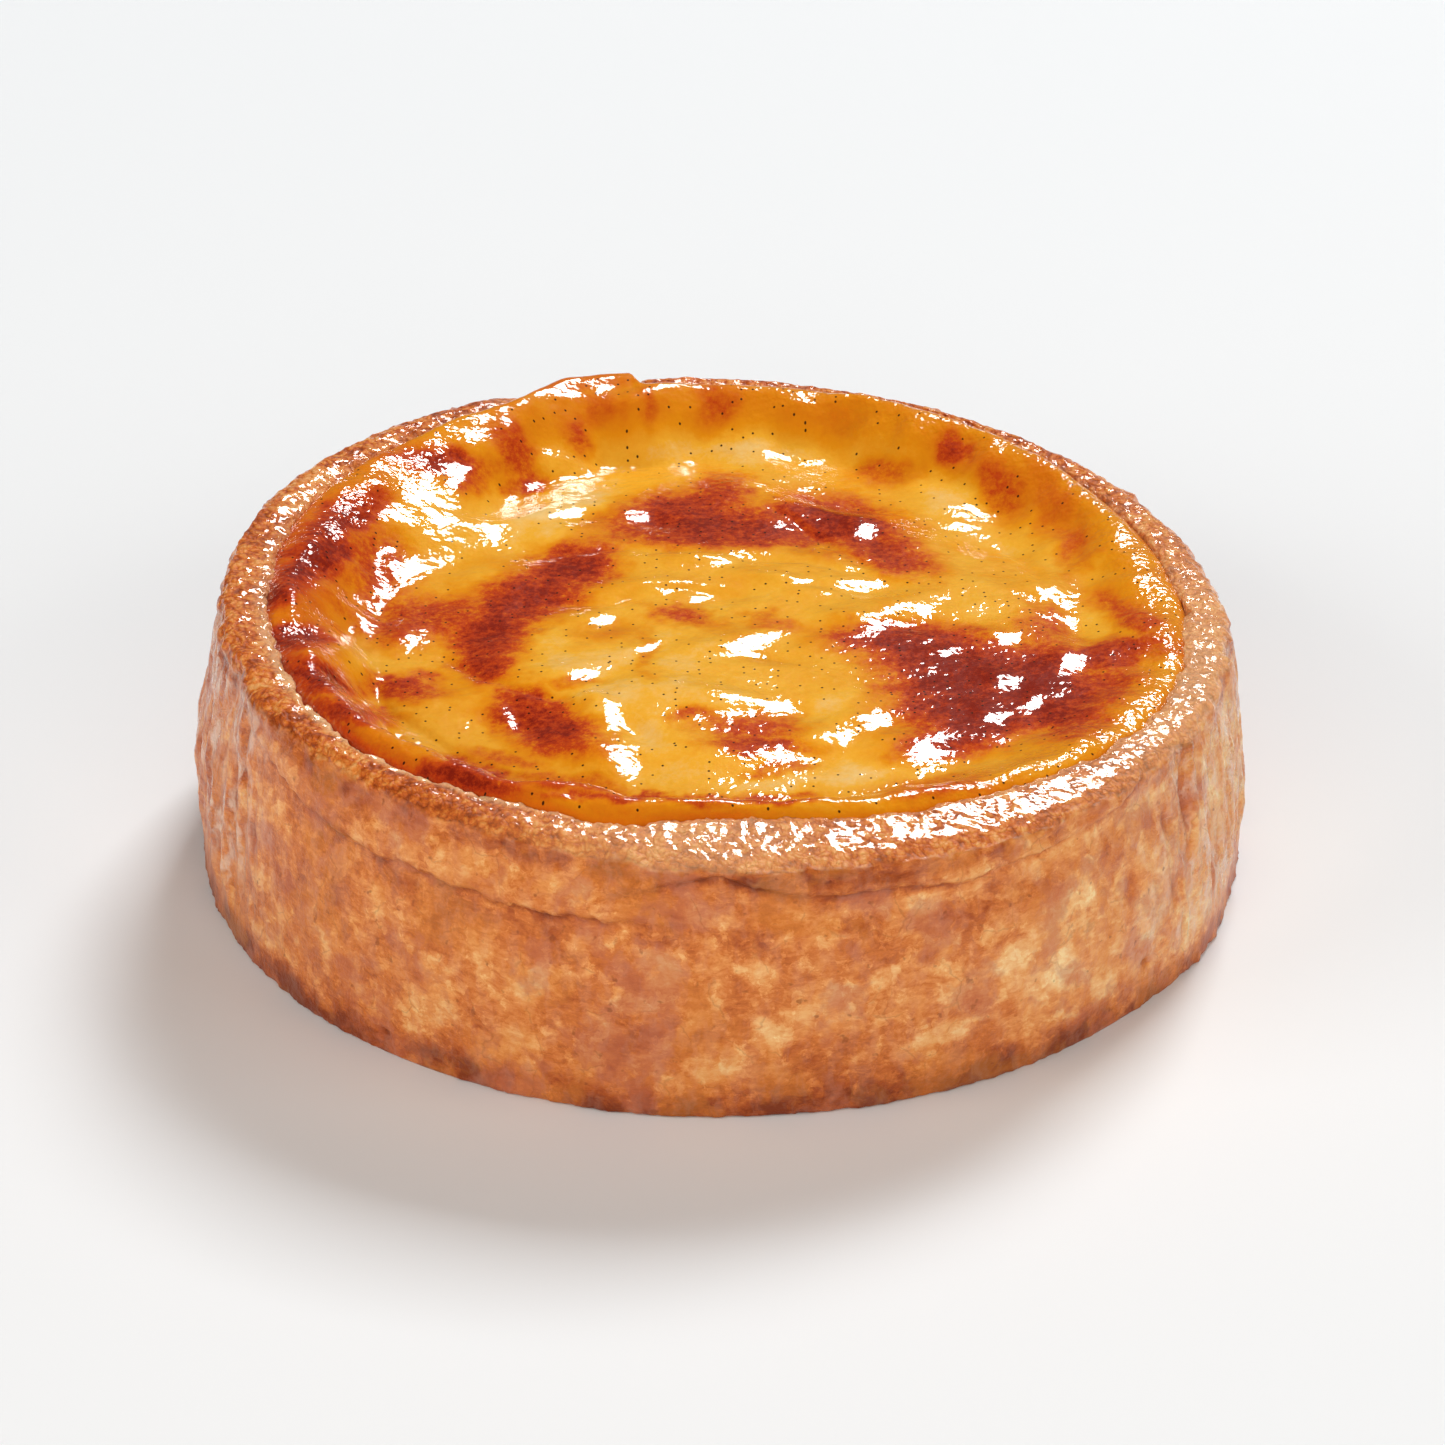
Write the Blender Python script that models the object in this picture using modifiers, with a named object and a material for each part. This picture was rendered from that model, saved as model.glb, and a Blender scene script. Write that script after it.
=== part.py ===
# A small vanilla flan: a cup of browned shortcrust pastry filled to the brim with baked vanilla custard.
# The flan stands on its flat underside. The origin is the middle of the underside, +Z is up, and -Y is the front.
# Sizes are named in millimetres and become metres through MM. Turns are degrees round the cup:
# 0 is the front, 90 the right, 180 the back and -90 the left.

import bpy
import bmesh
from math import atan2, cos, degrees, exp, hypot, pi, radians, sin
from mathutils import Vector

MM = 0.001

# Driving sizes of the whole flan
WALL_RADIUS = 61.6        # the widest ring of the pastry, about a third of the way up
RIM_RADIUS = 59.1         # the outer corner of the rim
RIM_INNER_RADIUS = 53.6   # the corner where the rim turns down to the custard
RIM_HEIGHT = 31.5         # the outer corner above the table, halfway between the high and the low side
LEAN = 0.043              # the rim drops by this share of the way from left to right
FOOT_RADIUS = 61.2        # the flat disc that the flan stands on
FLOOR_THICKNESS = 4.0     # pastry under the custard
GAP = 0.35                # clearance between the pastry and the custard
STEPS = 112               # faces round the cup

# The dough folded over at the front as a collar under the rim, with a seam below it
COLLAR_TURNS = (-58.0, 52.0)
COLLAR_HEIGHT = 28.0      # the middle of the collar
COLLAR_HALF_HEIGHT = 2.6
COLLAR_DEPTH = 1.0
SEAM_DEPTH = 0.5

# The custard's top: a swollen ring at the edge, a moat inside it and a low plateau in the middle
MOAT_HEIGHT = 27.0
PLATEAU_RISE = 2.0
PLATEAU_CENTRE = (0.0, 2.0)
PLATEAU_REACH = (33.0, 38.0)    # half the plateau's length across and front to back
CREST_RISE = 2.0                # the ring's crest above the rim's plane
CREST_INSET = 2.6               # the crest's distance inside the rim's inner corner
CREST_FALL = 7.0                # the width of the slope from the crest down to the moat
EDGE_DIP = 0.3                  # the custard meets the pastry this far under the rim's plane
SKIN_RADIUS = 52.8              # the edge of the custard's skin, before it follows the rim
SKIN_HEIGHT = RIM_HEIGHT + 1.0  # the turned skin lies flat up here until it is moved to its height
LIP_HEIGHT = RIM_HEIGHT - 1.6   # the top of the custard's side, just under its skin

# The flap of custard skin that boiled over the rim at the back left
FLAP_TURN = -161.0
FLAP_HALF_WIDTH = 8.5
FLAP_REACH = 2.6
FLAP_THICKNESS = 1.3
FLAP_SEAT_DEPTH = 0.5           # the pastry is pressed down under the flap

# Changes round the cup: (turn, half width in degrees, change in millimetres)
INNER_CORNER_SHIFTS = (
    (-46, 22, 2.2),
    (-13, 5, 1.4),
    (3, 11, -2.4),
    (28, 14, -1.2),
    (70, 28, 1.3),
    (168, 52, 2.8),
    (-118, 16, 0.4),
)
WALL_SHIFTS = (
    (-92, 16, 0.25),
    (-40, 16, -0.25),
    (-9, 9, 0.3),
    (46, 10, -0.25),
    (64, 7, 0.45),
    (76, 6, -0.3),
    (150, 24, -0.3),
    (-150, 20, 0.2),
)
UPPER_WALL_SHIFTS = (
    (-104, 32, -0.9),
)
CREST_RISE_SHIFTS = (
    (176, 14, -0.5),
    (-95, 40, -1.1),
    (88, 42, 0.5),
    (-18, 12, 0.3),
    (30, 12, -0.3),
    (-135, 14, 0.3),
    (150, 16, 0.3),
)
CREST_INSET_SHIFTS = (
    (-13, 5, 1.4),
    (3, 11, -0.9),
    (-88, 34, 1.2),
    (92, 34, 0.6),
    (176, 36, -0.5),
)
CREST_FALL_SHIFTS = (
    (92, 40, 2.6),
    (-150, 30, 1.0),
)

# Upright folds pressed into the wall: (first turn, last turn, number of folds, depth in millimetres)
WALL_FOLDS = (
    (-112, -62, 4, 0.55),
    (55, 112, 5, 0.45),
    (135, 200, 5, 0.3),
)

# Swells and hollows of the custard's top: (x, y, rise, half length, half width, turn of the length in degrees)
CUSTARD_SWELLS = (
    (-21, 29, 1.1, 13, 6, 40),
    (4, 33, 0.8, 10, 5, -30),
    (12, 23, -0.7, 12, 4, -28),
    (0, 15, 0.5, 15, 4, -8),
    (-24, 4, -0.6, 12, 5, 60),
    (-9, -16, 0.6, 10, 8, 70),
    (2, -27, -0.5, 9, 4, 0),
    (30, -12, -0.6, 13, 10, 75),
    (21, 4, 0.6, 10, 4, 15),
    (-39, 8, 0.8, 9, 4, 85),
    (-36, 24, 0.7, 6, 5, 30),
    (-35, -15, 0.7, 8, 4, -60),
    (41, 12, 0.8, 10, 4, 100),
    (44, -8, 1.4, 9, 3, 28),
    (33, 36, 0.9, 8, 5, 130),
    (-20, -25, -0.5, 8, 6, -40),
)


def wrapped(turn):
    return (turn + 180.0) % 360.0 - 180.0


def shifted(base, shifts, turn):
    return base + sum(change * exp(-(wrapped(turn - centre) / spread) ** 2) for centre, spread, change in shifts)


def smooth_step(share):
    share = min(max(share, 0.0), 1.0)
    return share * share * (3.0 - 2.0 * share)


def flap_share(turn, first, last):
    """Rises from nothing to one between two distances, in degrees, inside the flap's sides."""
    inside = FLAP_HALF_WIDTH - abs(wrapped(turn - FLAP_TURN))
    return smooth_step((inside - first) / (last - first))


def flap_lift(turn):
    return flap_share(turn, -4.0, 0.0)


def flap_reach(turn):
    return FLAP_REACH * flap_share(turn, 0.0, 3.0)


def rim_plane(x):
    return RIM_HEIGHT - LEAN * x


def inner_corner(turn):
    """Radius of the corner between the rim's top and the cup's inside."""
    return shifted(RIM_INNER_RADIUS, INNER_CORNER_SHIFTS, turn)


def custard_swell(x, y):
    rise = 0.0
    for centre_x, centre_y, height, half_length, half_width, turn in CUSTARD_SWELLS:
        along = (x - centre_x) * cos(radians(turn)) + (y - centre_y) * sin(radians(turn))
        across = (y - centre_y) * cos(radians(turn)) - (x - centre_x) * sin(radians(turn))
        rise += height * exp(-(along / half_length) ** 2 - (across / half_width) ** 2)
    return rise


def plateau(x, y):
    reach = hypot((x - PLATEAU_CENTRE[0]) / PLATEAU_REACH[0], (y - PLATEAU_CENTRE[1]) / PLATEAU_REACH[1])
    return PLATEAU_RISE * smooth_step((1.18 - reach) / 0.45)


def custard_top(turn, inset):
    """Height of the custard's skin at a distance inside the rim's inner corner."""
    radius = inner_corner(turn) - inset
    x = radius * sin(radians(turn))
    y = -radius * cos(radians(turn))
    crest = rim_plane(x) + shifted(CREST_RISE, CREST_RISE_SHIFTS, turn)
    crest_inset = shifted(CREST_INSET, CREST_INSET_SHIFTS, turn)
    edge = rim_plane(x) - EDGE_DIP + (EDGE_DIP - FLAP_SEAT_DEPTH + GAP + FLAP_THICKNESS) * flap_lift(turn)
    if inset < crest_inset:
        return edge + (crest - edge) * (1.0 - (1.0 - max(inset, 0.0) / crest_inset) ** 2)
    fall = smooth_step((inset - crest_inset) / shifted(CREST_FALL, CREST_FALL_SHIFTS, turn))
    middle = MOAT_HEIGHT + plateau(x, y) + custard_swell(x, y)
    return crest + (middle - crest) * fall


def wall_relief(turn, height):
    """How far the pastry wall stands out from the turned shape."""
    relief = shifted(0.0, WALL_SHIFTS, turn) * smooth_step((RIM_HEIGHT + 1.0 - height) / 8.0)
    relief += shifted(0.0, UPPER_WALL_SHIFTS, turn) * smooth_step((height - 14.0) / 12.0)
    upright = smooth_step((height - 3.0) / 7.0)
    for first, last, count, depth in WALL_FOLDS:
        share = (turn % 360.0 - first % 360.0) % 360.0 / (last - first)
        if share < 1.0:
            lean = 0.08 * sin(height / 7.0)
            relief -= depth * upright * sin(pi * share) * (0.5 - 0.5 * cos(2.0 * pi * (count * share + lean)))
    return relief


def collar_relief(turn, height):
    """The collar stands out at the front, and the seam is pressed in below it."""
    first, last = COLLAR_TURNS
    share = smooth_step((turn - first) / 10.0 + 0.5) * smooth_step((last - turn) / 6.0 + 0.5)
    above = height - COLLAR_HEIGHT - 0.7 * sin(radians(turn * 3.0 + 60.0))
    collar = COLLAR_DEPTH * exp(-(above / COLLAR_HALF_HEIGHT) ** 4)
    seam = SEAM_DEPTH * exp(-((above + COLLAR_HALF_HEIGHT + 1.0) / 1.0) ** 2)
    return (collar - seam) * share


def crumb(turn, radius):
    """Low crags on the rim's top."""
    return 0.22 * sin(radians(turn * 17.0)) * cos(radius * 1.3) + 0.14 * sin(radians(turn * 29.0 + radius * 60.0))


def crust_point(radius, height, turn):
    """Moves a point of the turned cup to where the browned pastry is."""
    rim_share = min(max((radius - RIM_INNER_RADIUS) / (RIM_RADIUS - RIM_INNER_RADIUS), 0.0), 1.0)
    upper = smooth_step((height - FLOOR_THICKNESS) / 20.0)
    moved = radius + (1.0 - rim_share) * upper * (inner_corner(turn) - RIM_INNER_RADIUS)
    lifted = height
    if radius > RIM_RADIUS - 0.1 and height > 0.1:
        moved += wall_relief(turn, height) + collar_relief(turn, height)
    if height > RIM_HEIGHT - 1.2:
        seat = RIM_HEIGHT - FLAP_SEAT_DEPTH
        lifted += crumb(turn, radius)
        lifted += (seat - lifted) * flap_lift(turn)
    x = moved * sin(radians(turn))
    y = -moved * cos(radians(turn))
    return x, y, lifted - LEAN * x * height / RIM_HEIGHT


def custard_point(radius, height, turn):
    """Moves a point of the turned custard to its skin, its lip or its side."""
    corner = inner_corner(turn)
    upper = smooth_step((height - FLOOR_THICKNESS) / 20.0)
    lifted = height
    if height > SKIN_HEIGHT - 0.1:
        moved = radius / SKIN_RADIUS * (corner - RIM_INNER_RADIUS + SKIN_RADIUS)
        moved += flap_reach(turn) * smooth_step((radius - 0.9 * SKIN_RADIUS) / (0.1 * SKIN_RADIUS))
        x = moved * sin(radians(turn))
        return x, -moved * cos(radians(turn)), custard_top(turn, corner - moved)
    moved = radius + upper * (corner - RIM_INNER_RADIUS)
    if height > LIP_HEIGHT - 0.1:
        moved += flap_reach(turn) if height > LIP_HEIGHT + 0.1 else 0.0
        lifted += (RIM_HEIGHT - FLAP_SEAT_DEPTH + GAP - lifted) * flap_lift(turn)
    x = moved * sin(radians(turn))
    return x, -moved * cos(radians(turn)), lifted - LEAN * x * height / RIM_HEIGHT


def crust_profile():
    """The cup from the middle of its inside, over the rim and down the outer side to the middle underneath."""
    inside = [(0, FLOOR_THICKNESS), (26, FLOOR_THICKNESS), (46, FLOOR_THICKNESS)]
    inside += [(49.6, 5.2), (51.0, 9.0), (51.9, 16.5), (52.6, 23.0), (53.0, 28.6)]
    rim = [(53.1, RIM_HEIGHT - 1.0), (RIM_INNER_RADIUS, RIM_HEIGHT - 0.1), (54.6, RIM_HEIGHT + 0.5)]
    rim += [(56.0, RIM_HEIGHT + 0.7), (57.6, RIM_HEIGHT + 0.5), (RIM_RADIUS, RIM_HEIGHT - 0.2)]
    wall = [(59.6, 30.0), (59.9, 28.8), (60.1, 27.4), (60.3, 26.0), (60.5, 24.8), (60.7, 23.4), (61.0, 20.8)]
    wall += [(61.3, 17.0), (WALL_RADIUS, 12.5), (WALL_RADIUS, 8.0), (61.7, 4.0), (61.8, 1.8)]
    wall += [(61.8, 0.3), (FOOT_RADIUS, 0), (30, 0), (0, 0)]
    return inside + rim + wall


def custard_profile():
    """The custard from the middle of its skin out to the rim and down its side to the middle underneath."""
    shares = [i / 10.0 for i in range(8)] + [0.76, 0.81, 0.855, 0.895, 0.93, 0.955, 0.978, 1.0]
    skin = [(share * SKIN_RADIUS, SKIN_HEIGHT) for share in shares]
    lip = [(SKIN_RADIUS, LIP_HEIGHT + 0.3), (SKIN_RADIUS, LIP_HEIGHT)]
    side = [(53.0 - GAP, 28.6), (52.6 - GAP, 23.0), (51.9 - GAP, 16.5), (51.0 - GAP, 9.0)]
    side += [(49.6 - GAP, 5.2 + GAP), (46.0, FLOOR_THICKNESS + GAP), (26.0, FLOOR_THICKNESS + GAP)]
    return skin + lip + side + [(0.0, FLOOR_THICKNESS + GAP)]


def turned_mesh(name, profile):
    """Turns a profile once round with a Screw modifier."""
    outline = bpy.data.meshes.new(name + "_profile")
    points = [(radius * MM, 0.0, height * MM) for radius, height in profile]
    outline.from_pydata(points, [(i, i + 1) for i in range(len(points) - 1)], [])
    turned = bpy.data.objects.new(name + "_turned", outline)
    bpy.context.scene.collection.objects.link(turned)
    screw = turned.modifiers.new("turn", "SCREW")
    screw.axis = "Z"
    screw.angle = 2.0 * pi
    screw.steps = STEPS
    screw.render_steps = STEPS
    screw.use_merge_vertices = True
    screw.merge_threshold = 0.00001
    evaluated = turned.evaluated_get(bpy.context.evaluated_depsgraph_get())
    mesh = bpy.data.meshes.new_from_object(evaluated)
    mesh.name = name
    bpy.data.objects.remove(turned)
    return mesh


def model_turned(name, profile, move, material, collection):
    """Makes a turned piece and moves each of its points by the piece's own relief."""
    mesh = turned_mesh(name, profile)
    for vertex in mesh.vertices:
        x, y, z = vertex.co / MM
        vertex.co = Vector(move(hypot(x, y), z, degrees(atan2(x, -y)))) * MM
    tidy = bmesh.new()
    tidy.from_mesh(mesh)
    bmesh.ops.triangulate(tidy, faces=tidy.faces)
    bmesh.ops.recalc_face_normals(tidy, faces=tidy.faces)
    tidy.to_mesh(mesh)
    tidy.free()
    mesh.shade_smooth()
    mesh.materials.append(material)
    piece = bpy.data.objects.new(name, mesh)
    collection.objects.link(piece)


def surface(name, colour, roughness):
    material = bpy.data.materials.new(name)
    material.use_nodes = True
    shader = material.node_tree.nodes["Principled BSDF"]
    shader.inputs["Base Color"].default_value = (*colour, 1.0)
    shader.inputs["Roughness"].default_value = roughness
    shader.inputs["Metallic"].default_value = 0.0
    return material


def build():
    for obj in list(bpy.data.objects):
        bpy.data.objects.remove(obj)
    flan = bpy.data.collections.new("vanilla_flan")
    bpy.context.scene.collection.children.link(flan)
    pastry = surface("browned_pastry", (0.52, 0.19, 0.065), 0.55)
    custard = surface("glazed_custard", (0.76, 0.36, 0.045), 0.12)
    model_turned("pastry_crust", crust_profile(), crust_point, pastry, flan)
    model_turned("custard_filling", custard_profile(), custard_point, custard, flan)


build()
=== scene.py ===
import math
import bmesh
import bpy
import numpy as np
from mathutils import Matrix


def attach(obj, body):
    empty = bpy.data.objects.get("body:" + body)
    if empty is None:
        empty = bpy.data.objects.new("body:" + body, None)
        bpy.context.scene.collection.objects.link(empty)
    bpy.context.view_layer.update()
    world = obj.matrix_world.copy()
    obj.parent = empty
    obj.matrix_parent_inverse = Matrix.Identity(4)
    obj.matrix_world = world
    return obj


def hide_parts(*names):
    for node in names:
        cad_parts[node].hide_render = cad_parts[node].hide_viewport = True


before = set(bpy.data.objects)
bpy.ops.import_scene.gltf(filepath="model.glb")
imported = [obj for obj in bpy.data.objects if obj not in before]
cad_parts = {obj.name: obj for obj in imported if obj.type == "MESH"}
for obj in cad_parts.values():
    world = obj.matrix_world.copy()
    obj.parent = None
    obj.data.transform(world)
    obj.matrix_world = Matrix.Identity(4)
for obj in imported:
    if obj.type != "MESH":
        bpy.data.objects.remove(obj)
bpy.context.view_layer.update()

mm = 0.001
print("frame loaded:", sorted(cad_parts))

# Shape arrays are in millimetres, +Z up, front at -Y. A turn is degrees round the cup: 0 front, 90 right, 180 back.


# Colours and nodes

def hexColour(code):
    # sRGB hex to the linear values that Blender works in
    srgb = [int(code[i:i + 2], 16) / 255.0 for i in (1, 3, 5)]
    return tuple(c / 12.92 if c <= 0.04045 else ((c + 0.055) / 1.055) ** 2.4 for c in srgb) + (1.0,)


def perMetre(sizeMm):
    # scale of a texture whose pattern repeats every sizeMm millimetres of object space
    return 1000.0 / sizeMm


def addNode(tree, kind, inputs=None, stops=None, **settings):
    # adds a node, sets its options, then links or fills its inputs; stops are the colours of a ramp
    node = tree.nodes.new("ShaderNode" + kind)
    for name, value in settings.items():
        setattr(node, name, value)
    for key, value in (inputs or {}).items():
        if isinstance(value, bpy.types.NodeSocket):
            tree.links.new(value, node.inputs[key])
        else:
            node.inputs[key].default_value = value
    if stops:
        ramp = node.color_ramp
        while len(ramp.elements) < len(stops):
            ramp.elements.new(1.0)
        for element, (position, code) in zip(ramp.elements, stops):
            element.position = position
            element.color = hexColour(code)
    return node


def attributeOf(tree, name):
    return addNode(tree, "Attribute", attribute_name=name).outputs["Fac"]


def noiseOf(tree, place, sizeMm, detail, roughness=0.5, distortion=0.0, output="Fac"):
    return addNode(tree, "TexNoise", {"Vector": place, "Scale": perMetre(sizeMm), "Detail": detail,
                                      "Roughness": roughness, "Distortion": distortion}).outputs[output]


def scaledBy(tree, value, times, plus=0.0):
    return addNode(tree, "Math", {0: value, 1: times, 2: plus}, operation="MULTIPLY_ADD").outputs[0]


def fitted(tree, value, first, last, low=0.0, high=1.0):
    # first to last becomes low to high, and stays there beyond both ends
    return addNode(tree, "MapRange", {"Value": value, "From Min": first, "From Max": last, "To Min": low,
                                      "To Max": high}).outputs["Result"]


def mixed(tree, share, under, over):
    # a hex code or a colour on top gives a colour, anything else a number
    if isinstance(over, str):
        over = hexColour(over)
    first, kind = (6, "RGBA") if isinstance(over, tuple) or over.type == "RGBA" else (2, "FLOAT")
    node = addNode(tree, "Mix", {0: share, first: under, first + 1: over}, data_type=kind)
    return node.outputs[2 if kind == "RGBA" else 0]


def bumpOf(tree, height, strength, depthMm, normal=None):
    node = addNode(tree, "Bump", {"Height": height, "Strength": strength, "Distance": depthMm * mm})
    if normal:
        tree.links.new(normal, node.inputs["Normal"])
    return node.outputs["Normal"]


def finishShader(tree, shader, linked, fixed):
    for key, value in linked.items():
        tree.links.new(value, shader.inputs[key])
    for key, value in fixed.items():
        shader.inputs[key].default_value = value


def newMaterial(name):
    made = bpy.data.materials.new(name)
    made.use_nodes = True
    tree = made.node_tree
    tree.nodes.clear()
    shader = addNode(tree, "BsdfPrincipled")
    addNode(tree, "OutputMaterial", {"Surface": shader.outputs["BSDF"]})
    return made, tree, shader


# Numbers and noise

def smoothStep(share):
    share = np.clip(share, 0.0, 1.0)
    return share * share * (3.0 - 2.0 * share)


def flatPoints(x, y):
    return np.stack([x, y, x * 0.0], axis=1)


def polar(radius, turn):
    return radius * np.sin(np.radians(turn)), -radius * np.cos(np.radians(turn))


def wrapped(turn):
    return (turn + 180.0) % 360.0 - 180.0


def shifted(base, shifts, turn):
    # base plus soft changes round the cup: (centre turn, half width, change)
    total = np.full(np.shape(turn), float(base))
    for centre, spread, change in shifts:
        total = total + change * bell(wrapped(turn - centre) / spread)
    return total


def cellHash(cell, seed):
    # a repeatable pseudo-random number from 0 to 1 for every whole-numbered cell
    code = cell[..., 0] * 374761393 + cell[..., 1] * 668265263 + cell[..., 2] * 2147483647 + seed * 974634777
    code = (code ^ (code >> 13)) * 1274126177 & 0xFFFFFFFF
    code = (code ^ (code >> 16)) * 2246822519 & 0xFFFFFFFF
    return ((code ^ (code >> 15)) & 0xFFFFFF) / float(0xFFFFFF)


def noise(points, size, seed):
    # smooth gradient noise, about -1 to 1; size is the grain in millimetres, one number or one for each axis
    scaled = points / np.asarray(size, dtype=float)
    cell = np.floor(scaled).astype(np.int64)
    inside = scaled - cell
    fade = inside ** 3 * (inside * (inside * 6.0 - 15.0) + 10.0)
    total = np.zeros(len(points))
    for corner in range(8):
        offset = np.array([corner & 1, corner >> 1 & 1, corner >> 2 & 1])
        at = cell + offset
        slope = np.stack([cellHash(at, seed * 3 + axis) * 2.0 - 1.0 for axis in range(3)], axis=-1)
        weight = np.prod(np.where(offset, fade, 1.0 - fade), axis=-1)
        total += weight * np.sum(slope * (inside - offset), axis=-1)
    return total * 1.6


def layered(points, size, seed, layers=3, keep=0.5):
    total = np.zeros(len(points))
    for layer in range(layers):
        total += keep ** layer * noise(points, np.asarray(size, dtype=float) / 2.0 ** layer, seed + layer * 17)
    return total


def bell(value):
    return np.exp(-value ** 2)


def turnedBy(x, y, turn):
    c, s = math.cos(math.radians(turn)), math.sin(math.radians(turn))
    return x * c + y * s, y * c - x * s


def ellipse(x, y, patch):
    # distance from a patch's middle, 1 at its outline; a patch starts (x, y, half length, half width, turn)
    along, across = turnedBy(x - patch[0], y - patch[1], patch[4])
    return np.hypot(along / patch[2], across / patch[3])


def pathDistance(x, y, path):
    # shortest distance to an open path, and how far along it that is (0 to 1)
    best = np.full(np.shape(x), 1e9)
    share = np.zeros(np.shape(x))
    for i in range(len(path) - 1):
        (ax, ay), (bx, by) = path[i][:2], path[i + 1][:2]
        lengthSquared = (bx - ax) ** 2 + (by - ay) ** 2
        t = np.clip(((x - ax) * (bx - ax) + (y - ay) * (by - ay)) / lengthSquared, 0.0, 1.0)
        distance = np.hypot(x - ax - t * (bx - ax), y - ay - t * (by - ay))
        nearer = distance < best
        best = np.where(nearer, distance, best)
        share = np.where(nearer, (i + t) / (len(path) - 1), share)
    return best, share


def meshPiece(name, points, quads, triangles, attributes, material, node):
    # a smooth closed mesh from arrays in millimetres, which stands for one node of the frame
    mesh = bpy.data.meshes.new(name)
    mesh.from_pydata((points * mm).tolist(), [], quads.tolist() + triangles.tolist())
    for key, values in attributes.items():
        mesh.attributes.new(key, "FLOAT", "POINT").data.foreach_set("value", values.astype(np.float32))
    made = bmesh.new()
    made.from_mesh(mesh)
    bmesh.ops.recalc_face_normals(made, faces=made.faces)
    made.to_mesh(mesh)
    made.free()
    mesh.shade_smooth()
    mesh.materials.append(material)
    piece = bpy.data.objects.new(name, mesh)
    bpy.context.scene.collection.objects.link(piece)
    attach(piece, "root")
    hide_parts(node)
    print(name, len(points), "points,", 2 * len(quads) + len(triangles), "triangles")
    return piece


# The cup and the custard meet along this line, so both pieces share it
flan = {
    "rimHeight": 31.5,  # outer corner of the rim, halfway between the high and the low side
    "lean": 0.043,  # the rim drops by this share of the way from left to right
    "rimRadius": 59.1,
    "innerRadius": 53.6,  # corner where the rim turns down to the custard
    "floor": 4.0,  # pastry under the custard
    "gap": 0.35,
    "innerShifts": (
        (-46, 22, 2.2), (-13, 5, 1.4), (3, 11, -2.4), (28, 14, -1.2), (70, 28, 1.3), (168, 52, 3.5), (-118, 16, 0.4),
    ),
    "flapTurn": -162.5,  # the skin boiled over the rim at the back left
    "flapHalfWidth": 8.5,
    "flapReach": 2.6,
    "flapThickness": 1.3,
    "flapSeat": 0.5,
}


def innerCorner(turn):
    return shifted(flan["innerRadius"], flan["innerShifts"], turn)


def flapShare(turn, first, last):
    # the flap ends sharply near the back and fades out towards the left
    away = wrapped(turn - flan["flapTurn"])
    inside = flan["flapHalfWidth"] - np.where(away > 0.0, 0.75 * away, -1.25 * away)
    scale = np.where(away > 0.0, 2.4, 0.4)
    return smoothStep((inside / scale - np.where(away > 0.0, first / 2.4, first)) / (last - first))


def flapLift(turn):
    return flapShare(turn, -4.0, 0.0)


def flapOver(turn):
    return flan["flapReach"] * flapShare(turn, 0.0, 3.0)


def insetOf(x, y):
    # how far a point lies inside the rim's inner corner
    return innerCorner(np.degrees(np.arctan2(x, -y))) - np.hypot(x, y)


def rimPlane(x):
    return flan["rimHeight"] - flan["lean"] * x


def leaned(radius, turn, z):
    # a point of the even cup, moved to where the leaning cup has it
    x, y = polar(radius, turn)
    return np.stack([x, y, z - flan["lean"] * x * z / flan["rimHeight"]], axis=1)


# Pastry crust

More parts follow.
